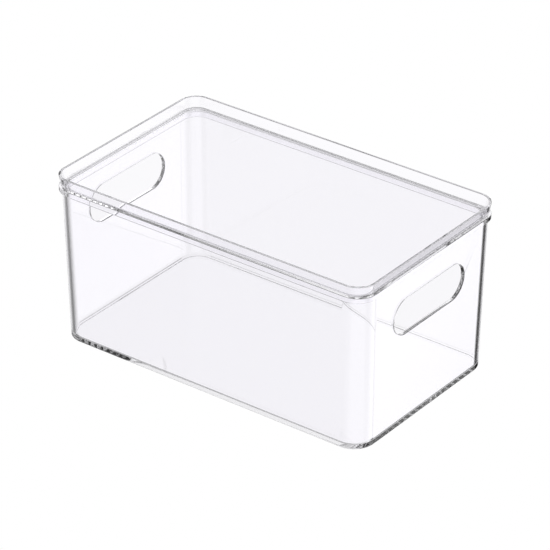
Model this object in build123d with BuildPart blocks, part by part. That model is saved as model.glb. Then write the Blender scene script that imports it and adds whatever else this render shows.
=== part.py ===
from build123d import *
import os

# A lidded fridge bin: a drafted tub with two hand slots and a lift-off lid with a raised
# stacking rim. Millimetres, +Z up, long side along X. The origin is at the centre of the base.

# Outside of the tub's lip and of the lid's raised rim
rim_length = 318.0
rim_width = 190.3
rim_corner = 17.0

# Heights above the base
mouth_height = 143.7
overall_height = 154.0

# Tub
lip_overhang = 1.0
lip_thickness = 4.5
lip_round = 0.5
wall_draft = 2.9
wall_thickness = 3.5
wall_corner = 20.0
floor_thickness = 3.2
foot_round = 2.0
floor_round = 2.5

# Hand slots through the short walls
slot_length = 97.2
slot_height = 32.4
slot_centre_height = 103.0
slot_round = 0.9

# Lid
panel_rise = 0.5
panel_thickness = 2.2
rim_flare = 1.8
rim_thickness = 2.4
rim_top_round = 0.7
rim_foot_round = 0.8
recess_round = 1.0
plug_clearance = 0.6
plug_thickness = 2.0
plug_depth = 7.6
plug_round = 0.7

# Sizes that follow from those
wall_length = rim_length - 2 * lip_overhang
wall_width = rim_width - 2 * lip_overhang
foot_length = wall_length - 2 * wall_draft
foot_width = wall_width - 2 * wall_draft
panel_top = mouth_height + panel_rise
panel_underside = panel_top - panel_thickness
lip_underside = mouth_height - lip_thickness
mouth_inset = lip_overhang + wall_thickness
plug_inset = mouth_inset + plug_clearance
plug_corner = wall_corner - wall_thickness - plug_clearance

os.makedirs("parts", exist_ok=True)


def wall_outline(height, inset):
    """The tub wall's outline at a height, moved inwards by inset."""
    spread = wall_draft * height / mouth_height - inset
    RectangleRounded(foot_length + 2 * spread, foot_width + 2 * spread, wall_corner - inset)


def rim_outline(inset):
    """The lid rim's top outline, moved inwards by inset."""
    RectangleRounded(rim_length - 2 * inset, rim_width - 2 * inset, rim_corner - inset)


def plug_outline(inset):
    """The lid plug's outline, moved inwards by inset."""
    from_rim = plug_inset + inset
    RectangleRounded(rim_length - 2 * from_rim, rim_width - 2 * from_rim, plug_corner - inset)


def flat_edges(part, height):
    """The edges of a part that lie level at a height."""
    return part.edges().filter_by_position(Axis.Z, height - 0.01, height + 0.01)


# Tub: walls, lip, floor and hand slots, moulded in one piece
with BuildPart() as bin_tub:
    with BuildSketch(Plane.XY):
        wall_outline(0, 0)
    with BuildSketch(Plane.XY.offset(mouth_height)):
        wall_outline(mouth_height, 0)
    loft()
    fillet(flat_edges(bin_tub, 0), radius=foot_round)

    with BuildSketch(Plane.XY.offset(lip_underside)):
        rim_outline(0)
    extrude(amount=lip_thickness)
    lip_sides = bin_tub.faces().filter_by(lambda face: abs(face.normal_at().Z) < 0.001)
    fillet(lip_sides.edges().filter_by(Axis.Z, reverse=True), radius=lip_round)

    with BuildSketch(Plane.XY.offset(floor_thickness)):
        wall_outline(floor_thickness, wall_thickness)
    with BuildSketch(Plane.XY.offset(mouth_height)):
        wall_outline(mouth_height, wall_thickness)
    loft(mode=Mode.SUBTRACT)
    fillet(flat_edges(bin_tub, floor_thickness), radius=floor_round)

    with BuildSketch(Plane.YZ) as slots:
        with Locations((0, slot_centre_height)):
            SlotOverall(slot_length, slot_height)
    extrude(amount=rim_length, both=True, mode=Mode.SUBTRACT)
    fillet(bin_tub.edges(Select.NEW), radius=slot_round)

bin_tub.part.label = "bin_tub"
export_step(bin_tub.part, "parts/bin_tub.step")


# Lid: flat panel level with the mouth, raised flared rim that the next bin stands in, and a plug
# that drops inside the mouth
with BuildPart() as lid:
    with BuildSketch(Plane.XY.offset(mouth_height)):
        rim_outline(rim_flare)
    with BuildSketch(Plane.XY.offset(overall_height)):
        rim_outline(0)
    loft()

    with BuildSketch(Plane.XY.offset(panel_top)):
        rim_outline(rim_flare + rim_thickness)
    with BuildSketch(Plane.XY.offset(overall_height)):
        rim_outline(rim_thickness)
    loft(mode=Mode.SUBTRACT)
    fillet(flat_edges(lid, overall_height), radius=rim_top_round)
    fillet(flat_edges(lid, panel_top), radius=recess_round)
    fillet(flat_edges(lid, mouth_height), radius=rim_foot_round)

    with BuildSketch(Plane.XY.offset(mouth_height)):
        plug_outline(0)
    extrude(amount=-plug_depth)
    with BuildSketch(Plane.XY.offset(panel_underside)):
        plug_outline(plug_thickness)
    extrude(amount=-plug_depth, mode=Mode.SUBTRACT)
    fillet(flat_edges(lid, mouth_height - plug_depth), radius=plug_round)

lid.part.label = "lid"
export_step(lid.part, "parts/lid.step")
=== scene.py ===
import math

import bmesh
import bpy
from mathutils import Matrix, Quaternion, Vector


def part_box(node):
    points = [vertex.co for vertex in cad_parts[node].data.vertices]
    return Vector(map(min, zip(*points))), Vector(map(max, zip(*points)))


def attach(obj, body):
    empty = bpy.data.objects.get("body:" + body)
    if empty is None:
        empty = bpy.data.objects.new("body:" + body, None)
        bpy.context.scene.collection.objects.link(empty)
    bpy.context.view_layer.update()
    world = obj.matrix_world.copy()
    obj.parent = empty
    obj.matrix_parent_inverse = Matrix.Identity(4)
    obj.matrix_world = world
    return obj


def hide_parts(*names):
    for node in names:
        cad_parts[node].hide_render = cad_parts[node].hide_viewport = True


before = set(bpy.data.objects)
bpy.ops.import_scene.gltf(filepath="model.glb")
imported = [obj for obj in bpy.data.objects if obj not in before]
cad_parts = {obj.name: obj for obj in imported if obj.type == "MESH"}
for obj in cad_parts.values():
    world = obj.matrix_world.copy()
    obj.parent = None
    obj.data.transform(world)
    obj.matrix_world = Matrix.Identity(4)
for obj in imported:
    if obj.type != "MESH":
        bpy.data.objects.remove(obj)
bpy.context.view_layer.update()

MM = 0.001

# The bin's outline and heights come from the frame
tub_low, tub_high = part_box("bin_tub")
lid_low, lid_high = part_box("lid")
RIM_LENGTH = tub_high.x - tub_low.x
RIM_WIDTH = tub_high.y - tub_low.y
MOUTH = tub_high.z
TOP = lid_high.z
PLUG_FOOT = lid_low.z

# Tub
LIP_CORNER = 17.0 * MM
LIP_OVERHANG = 1.0 * MM
LIP_THICKNESS = 4.5 * MM
LIP_ROUND = 0.5 * MM
LIP_ROOT_ROUND = 0.2 * MM
MOUTH_ROUND = 0.5 * MM
WALL_DRAFT = 2.9 * MM
WALL_THICKNESS = 3.5 * MM
WALL_CORNER = 20.0 * MM
FLOOR_THICKNESS = 3.2 * MM
FLOOR_ROUND = 2.5 * MM
FOOT_ROUND = 2.0 * MM

# Hand slots
SLOT_LENGTH = 97.2 * MM
SLOT_HEIGHT = 32.4 * MM
SLOT_CENTRE = 103.0 * MM
SLOT_ROUND = 0.9 * MM

# Lid
SEAT_GAP = 0.15 * MM
PANEL_RISE = 0.5 * MM
PANEL_THICKNESS = 2.2 * MM
RIM_FLARE = 1.8 * MM
RIM_THICKNESS = 2.4 * MM
RIM_TOP_ROUND = 0.7 * MM
RIM_FOOT_ROUND = 0.8 * MM
RECESS_ROUND = 1.0 * MM
PLUG_CLEARANCE = 0.6 * MM
PLUG_THICKNESS = 2.0 * MM
PLUG_ROUND = 0.7 * MM
PLUG_ROOT_ROUND = 0.5 * MM

# Steps in each quarter turn of an outline, and across each rounded edge
CORNER_SEGMENTS = 32
SLOT_SEGMENTS = 14
FOOT_SEGMENTS = 6
FLOOR_SEGMENTS = 5
ROUND_SEGMENTS = 4
THIN_EDGE_SEGMENTS = 3
ROOT_SEGMENTS = 2

# Points closer than this are one point
WELD = 0.005 * MM
# A hair under half the slot's height, so that its two ends don't meet in one point
SLOT_END = SLOT_HEIGHT / 2 - WELD / 4
# How far apart a part's levels stand while they are joined
STACK_STEP = 50 * MM
# A face whose normal's X, squared, is past this belongs to an end wall
END_FACING = 0.99

# Clear plastic
PLASTIC_TINT = (0.978, 0.972, 0.995)
PLASTIC_IOR = 1.5
HAZE_SCALE = 40
HAZE_DETAIL = 4
HAZE_ROUGHNESS = 0.03
FLOW_SCALE = 12
FLOW_DETAIL = 1
FLOW_STRENGTH = 0.2
FLOW_DEPTH = 0.02 * MM

# Floor
FLOOR_REACH = 30
FLOOR_DROP = 0.5 * MM

# Light can pass this many clear surfaces before it is given up
LIGHT_BOUNCES = 48


def rounded_loop(bm, length, width, corner, place, segments):
    """The edge loop of a rounded rectangle, with the face inside it, laid flat and then placed."""
    made = bmesh.ops.create_grid(
        bm, x_segments=1, y_segments=1, size=0.5, matrix=Matrix.Diagonal((length, width, 1, 1))
    )
    rounded = bmesh.ops.bevel(
        bm,
        geom=made["verts"],
        offset=corner,
        affect="VERTICES",
        segments=segments,
        profile=0.5,
        material=-1,
    )
    face = rounded["verts"][0].link_faces[0]
    bmesh.ops.transform(bm, matrix=place, verts=face.verts)
    return face


def rim_section(inset, corner, height):
    """One level of a part: its inset from the rim's outline, its corner radius and its height."""
    return {"inset": inset, "corner": corner, "height": height}


def loft(bm, sections):
    """A closed skin through a list of levels, with a flat face at each end. Gives each level's edge loop.

    The loops are joined while they stand apart in a tall stack, because two that share a height can
    join with a twist. Each one then moves to its own height."""
    faces = [
        rounded_loop(
            bm,
            RIM_LENGTH - 2 * level["inset"],
            RIM_WIDTH - 2 * level["inset"],
            level["corner"],
            Matrix.Translation((0, 0, STACK_STEP * place)),
            CORNER_SEGMENTS,
        )
        for place, level in enumerate(sections)
    ]
    loops = [list(face.edges) for face in faces]
    levels = [list(face.verts) for face in faces]
    bmesh.ops.delete(bm, geom=faces[1:-1], context="FACES_ONLY")
    for here, after in zip(loops, loops[1:]):
        bmesh.ops.bridge_loops(bm, edges=here + after)
    for place, level in enumerate(sections):
        rise = level["height"] - STACK_STEP * place
        bmesh.ops.translate(bm, verts=levels[place], vec=(0, 0, rise))
    return loops


def round_edges(bm, edges, radius, segments=ROUND_SEGMENTS):
    """Rounds edges to a radius, as the mould is rounded."""
    bmesh.ops.bevel(
        bm,
        geom=edges,
        offset=radius,
        affect="EDGES",
        segments=segments,
        profile=0.5,
        material=-1,
    )


def face_outwards(bm):
    """Welds doubled points and turns every face outwards."""
    bmesh.ops.remove_doubles(bm, verts=bm.verts, dist=WELD)
    bmesh.ops.recalc_face_normals(bm, faces=bm.faces)


def short_walls(bm, side):
    """The outer and the inner flat face of the short wall on one side, outer first."""
    flat = [f for f in bm.faces if f.normal.x ** 2 > END_FACING and f.calc_center_median().x * side > 0]
    largest = sorted(flat, key=lambda f: f.calc_area())[-2:]
    return sorted(largest, key=lambda f: -abs(f.calc_center_median().x))


def open_wall(bm, wall):
    """Cuts the slot's outline into one face of a wall, and gives the outline's edges."""
    border = list(wall.edges)
    point, normal = wall.calc_center_median(), wall.normal.copy()
    upright = Matrix.Translation((0, 0, SLOT_CENTRE)) @ Matrix.Rotation(math.pi / 2, 4, "Y")
    slot = rounded_loop(
        bm, SLOT_HEIGHT, SLOT_LENGTH, SLOT_END, upright, SLOT_SEGMENTS
    )
    for v in slot.verts:
        v.co.x = point.x - (normal.y * (v.co.y - point.y) + normal.z * (v.co.z - point.z)) / normal.x
    outline = list(slot.edges)
    bmesh.ops.delete(bm, geom=[wall, slot], context="FACES_ONLY")
    bmesh.ops.triangle_fill(bm, use_beauty=True, edges=border + outline)
    return outline


def cut_hand_slot(bm, side):
    """A pill-shaped slot through the short wall on one side, with rounded edges."""
    outer, inner = short_walls(bm, side)
    outer_outline = open_wall(bm, outer)
    inner_outline = open_wall(bm, inner)
    bmesh.ops.bridge_loops(bm, edges=outer_outline + inner_outline)
    face_outwards(bm)
    rims = [e for e in outer_outline + inner_outline if e.is_valid]
    round_edges(bm, rims, SLOT_ROUND)


def finish_piece(bm, name, material):
    """Makes a moulded piece of a mesh, shaded so that its flat faces stay flat."""
    face_outwards(bm)
    for face in bm.faces:
        face.smooth = True
    mesh = bpy.data.meshes.new(name)
    bm.to_mesh(mesh)
    bm.free()
    piece = bpy.data.objects.new(name, mesh)
    bpy.context.collection.objects.link(piece)
    mesh.materials.append(material)
    shading = piece.modifiers.new("Flat faces stay flat", "WEIGHTED_NORMAL")
    shading.mode = "FACE_AREA"
    shading.weight = 100
    return piece


def make_tub(material):
    """The tub: drafted walls, floor, out-turned lip and two hand slots, moulded in one."""
    bm = bmesh.new()
    foot = LIP_OVERHANG + WALL_DRAFT
    inner_corner = WALL_CORNER - WALL_THICKNESS
    under_lip = MOUTH - LIP_THICKNESS
    lean = WALL_DRAFT / MOUTH
    wall_top = foot - lean * under_lip
    floor_inset = foot + WALL_THICKNESS - lean * FLOOR_THICKNESS
    foot_loop, root_loop, lip_low_loop, lip_top_loop, mouth_loop, floor_loop = loft(
        bm,
        [
            rim_section(foot, WALL_CORNER, 0),
            rim_section(wall_top, WALL_CORNER, under_lip),
            rim_section(0, LIP_CORNER, under_lip),
            rim_section(0, LIP_CORNER, MOUTH),
            rim_section(LIP_OVERHANG + WALL_THICKNESS, inner_corner, MOUTH),
            rim_section(floor_inset, inner_corner, FLOOR_THICKNESS),
        ],
    )
    face_outwards(bm)
    round_edges(bm, foot_loop, FOOT_ROUND, FOOT_SEGMENTS)
    round_edges(bm, root_loop, LIP_ROOT_ROUND, ROOT_SEGMENTS)
    round_edges(bm, lip_low_loop + lip_top_loop, LIP_ROUND)
    round_edges(bm, mouth_loop, MOUTH_ROUND, THIN_EDGE_SEGMENTS)
    round_edges(bm, floor_loop, FLOOR_ROUND, FLOOR_SEGMENTS)
    face_outwards(bm)
    for side in (-1, 1):
        cut_hand_slot(bm, side)
    return finish_piece(bm, "clear_tub", material)


def make_lid(material):
    """The lid: a flat panel, a flared rim that the next bin stands in, and a plug inside the mouth."""
    bm = bmesh.new()
    seat = MOUTH + SEAT_GAP
    panel = MOUTH + PANEL_RISE
    underside = panel - PANEL_THICKNESS
    recess = RIM_FLARE + RIM_THICKNESS
    plug_out = LIP_OVERHANG + WALL_THICKNESS + PLUG_CLEARANCE
    plug_in = plug_out + PLUG_THICKNESS
    plug_corner = WALL_CORNER - WALL_THICKNESS - PLUG_CLEARANCE
    recess_loop, inner_top, outer_top, rim_foot, root_out, plug_low_out, plug_low_in, root_in = loft(
        bm,
        [
            rim_section(recess, LIP_CORNER - recess, panel),
            rim_section(RIM_THICKNESS, LIP_CORNER - RIM_THICKNESS, TOP),
            rim_section(0, LIP_CORNER, TOP),
            rim_section(RIM_FLARE, LIP_CORNER - RIM_FLARE, seat),
            rim_section(plug_out, plug_corner, seat),
            rim_section(plug_out, plug_corner, PLUG_FOOT),
            rim_section(plug_in, plug_corner - PLUG_THICKNESS, PLUG_FOOT),
            rim_section(plug_in, plug_corner - PLUG_THICKNESS, underside),
        ],
    )
    face_outwards(bm)
    round_edges(bm, recess_loop, RECESS_ROUND)
    round_edges(bm, inner_top + outer_top, RIM_TOP_ROUND)
    round_edges(bm, rim_foot, RIM_FOOT_ROUND)
    round_edges(bm, plug_low_out + plug_low_in, PLUG_ROUND, THIN_EDGE_SEGMENTS)
    round_edges(bm, root_out + root_in, PLUG_ROOT_ROUND, ROOT_SEGMENTS)
    return finish_piece(bm, "clear_lid", material)


def clear_plastic(name):
    """Clear moulded plastic: glossy, faintly tinted, with the slow waviness of a moulded sheet."""
    material = bpy.data.materials.new(name)
    material.use_nodes = True
    nodes, links = material.node_tree.nodes, material.node_tree.links
    shader = nodes["Principled BSDF"]
    shader.inputs["Base Color"].default_value = (*PLASTIC_TINT, 1)
    shader.inputs["Transmission Weight"].default_value = 1
    shader.inputs["IOR"].default_value = PLASTIC_IOR
    place = nodes.new("ShaderNodeTexCoord")
    haze = nodes.new("ShaderNodeTexNoise")
    haze.inputs["Scale"].default_value = HAZE_SCALE
    haze.inputs["Detail"].default_value = HAZE_DETAIL
    links.new(place.outputs["Object"], haze.inputs["Vector"])
    roughness = nodes.new("ShaderNodeMapRange")
    roughness.inputs["To Min"].default_value = 0.0
    roughness.inputs["To Max"].default_value = HAZE_ROUGHNESS
    links.new(haze.outputs["Fac"], roughness.inputs["Value"])
    links.new(roughness.outputs["Result"], shader.inputs["Roughness"])
    flow = nodes.new("ShaderNodeTexNoise")
    flow.inputs["Scale"].default_value = FLOW_SCALE
    flow.inputs["Detail"].default_value = FLOW_DETAIL
    links.new(place.outputs["Object"], flow.inputs["Vector"])
    bump = nodes.new("ShaderNodeBump")
    bump.inputs["Strength"].default_value = FLOW_STRENGTH
    bump.inputs["Distance"].default_value = FLOW_DEPTH
    links.new(flow.outputs["Fac"], bump.inputs["Height"])
    links.new(bump.outputs["Normal"], shader.inputs["Normal"])
    return material


def make_floor():
    """A plain white floor."""
    bm = bmesh.new()
    under = Matrix.Translation((0, 0, -FLOOR_DROP))
    bmesh.ops.create_grid(bm, x_segments=1, y_segments=1, size=FLOOR_REACH, matrix=under)
    mesh = bpy.data.meshes.new("floor")
    bm.to_mesh(mesh)
    bm.free()
    floor = bpy.data.objects.new("floor", mesh)
    bpy.context.collection.objects.link(floor)
    material = bpy.data.materials.new("white floor")
    material.use_nodes = True
    nodes, links = material.node_tree.nodes, material.node_tree.links
    nodes.clear()
    glow = nodes.new("ShaderNodeEmission")
    glow.inputs["Color"].default_value = (1, 1, 1, 1)
    out = nodes.new("ShaderNodeOutputMaterial")
    links.new(glow.outputs["Emission"], out.inputs["Surface"])
    mesh.materials.append(material)
    floor.visible_transmission = False
    floor.visible_glossy = False


# The white tent's brightness by height, as the sine of the elevation
TENT = ((-1.0, 0.15), (-0.75, 0.95), (-0.5, 1.0), (0.15, 1.0), (0.5, 0.6), (1.0, 0.05))


def card(azimuth, elevation, full, fade, brightness):
    """A round card with a soft edge: its centre, how far out it is full and where it is gone, in degrees."""
    return {
        "azimuth": azimuth,
        "elevation": elevation,
        "full": full,
        "fade": fade,
        "brightness": brightness,
    }


CARDS = (
    # Bright reflectors, low on the right, that the near end wall and the near corner mirror
    card(45, -30, 10, 26, 1.6),
    card(320, -30, 15, 50, 1.25),
    # Dark cards, low behind and low on the left, that draw the outline and the foot
    card(84, -36, 6, 26, 0.02),
    card(178, -47, 12, 31, 0.18),
    # Two more, low in front and low on the right, that do the same from behind
    card(270, -14, 6, 24, 0.1),
    card(0, -14, 6, 24, 0.1),
    # A grey card, low in front on the left, that the long front wall mirrors
    card(233, -40, 12, 32, 0.62),
    # A white patch, high behind, that the lid's panel mirrors
    card(112, 30, 12, 30, 0.9),
)


def tent_wall(nodes, links, direction):
    """The bare tent: white round the horizon, darker straight up and straight down."""
    split = nodes.new("ShaderNodeSeparateXYZ")
    links.new(direction, split.inputs["Vector"])
    rise = nodes.new("ShaderNodeMapRange")
    rise.inputs["From Min"].default_value = -1
    links.new(split.outputs["Z"], rise.inputs["Value"])
    ramp = nodes.new("ShaderNodeValToRGB")
    elements = ramp.color_ramp.elements
    while len(elements) < len(TENT):
        elements.new(0.5)
    for element, (height, level) in zip(elements, TENT):
        element.position = (height + 1) / 2
        element.color = (level, level, level, 1)
    links.new(rise.outputs["Result"], ramp.inputs["Fac"])
    return ramp.outputs["Color"]


def hang_card(nodes, links, direction, light, hung):
    """Puts one card in front of the light that is there already."""
    azimuth, elevation = math.radians(hung["azimuth"]), math.radians(hung["elevation"])
    facing = nodes.new("ShaderNodeVectorMath")
    facing.operation = "DOT_PRODUCT"
    links.new(direction, facing.inputs[0])
    facing.inputs[1].default_value = (
        math.cos(azimuth) * math.cos(elevation),
        math.sin(azimuth) * math.cos(elevation),
        math.sin(elevation),
    )
    edge = nodes.new("ShaderNodeMapRange")
    edge.interpolation_type = "SMOOTHSTEP"
    edge.inputs["From Min"].default_value = math.cos(math.radians(hung["fade"]))
    edge.inputs["From Max"].default_value = math.cos(math.radians(hung["full"]))
    links.new(facing.outputs["Value"], edge.inputs["Value"])
    blend = nodes.new("ShaderNodeMix")
    blend.data_type = "RGBA"
    blend.inputs[7].default_value = (*[hung["brightness"]] * 3, 1)
    links.new(edge.outputs["Result"], blend.inputs["Factor"])
    links.new(light, blend.inputs[6])
    return blend.outputs[2]


def light_studio():
    """Soft, even light from a white tent round the bin, with a few soft cards hung in it."""
    world = bpy.data.worlds.new("studio")
    bpy.context.scene.world = world
    world.use_nodes = True
    nodes, links = world.node_tree.nodes, world.node_tree.links
    nodes.clear()
    place = nodes.new("ShaderNodeTexCoord")
    direction = place.outputs["Generated"]
    light = tent_wall(nodes, links, direction)
    for hung in CARDS:
        light = hang_card(nodes, links, direction, light, hung)
    background = nodes.new("ShaderNodeBackground")
    links.new(light, background.inputs["Color"])
    out = nodes.new("ShaderNodeOutputWorld")
    links.new(background.outputs["Background"], out.inputs["Surface"])


CAMERA_AZIMUTH = 37.02
CAMERA_ELEVATION = 29.79
CAMERA_ROLL = 0.14
CAMERA_DISTANCE = 2.980
CAMERA_TARGET = (0.2 * MM, 1.9 * MM, 70.2 * MM)
CAMERA_LENS = 235.0
SENSOR_WIDTH = 36


def make_camera():
    """A long lens, from the front right corner and well above."""
    azimuth, elevation = math.radians(CAMERA_AZIMUTH), math.radians(CAMERA_ELEVATION)
    back = Vector((
        math.sin(azimuth) * math.cos(elevation),
        -math.cos(azimuth) * math.cos(elevation),
        math.sin(elevation),
    ))
    data = bpy.data.cameras.new("camera")
    data.lens = CAMERA_LENS
    data.sensor_width = SENSOR_WIDTH
    camera = bpy.data.objects.new("camera", data)
    camera.location = Vector(CAMERA_TARGET) + back * CAMERA_DISTANCE
    turn = (-back).to_track_quat("-Z", "Y") @ Quaternion((0, 0, 1), math.radians(CAMERA_ROLL))
    camera.rotation_euler = turn.to_euler()
    bpy.context.collection.objects.link(camera)
    bpy.context.scene.camera = camera


tub = make_tub(clear_plastic("clear tub plastic"))
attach(tub, "bin")
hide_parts("bin_tub")

lid = make_lid(clear_plastic("clear lid plastic"))
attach(lid, "cover")
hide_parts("lid")

make_floor()
light_studio()
make_camera()
bpy.context.scene.view_settings.view_transform = "Standard"

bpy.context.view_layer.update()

cycles = bpy.context.scene.cycles
cycles.max_bounces = LIGHT_BOUNCES
cycles.transmission_bounces = LIGHT_BOUNCES
cycles.glossy_bounces = LIGHT_BOUNCES
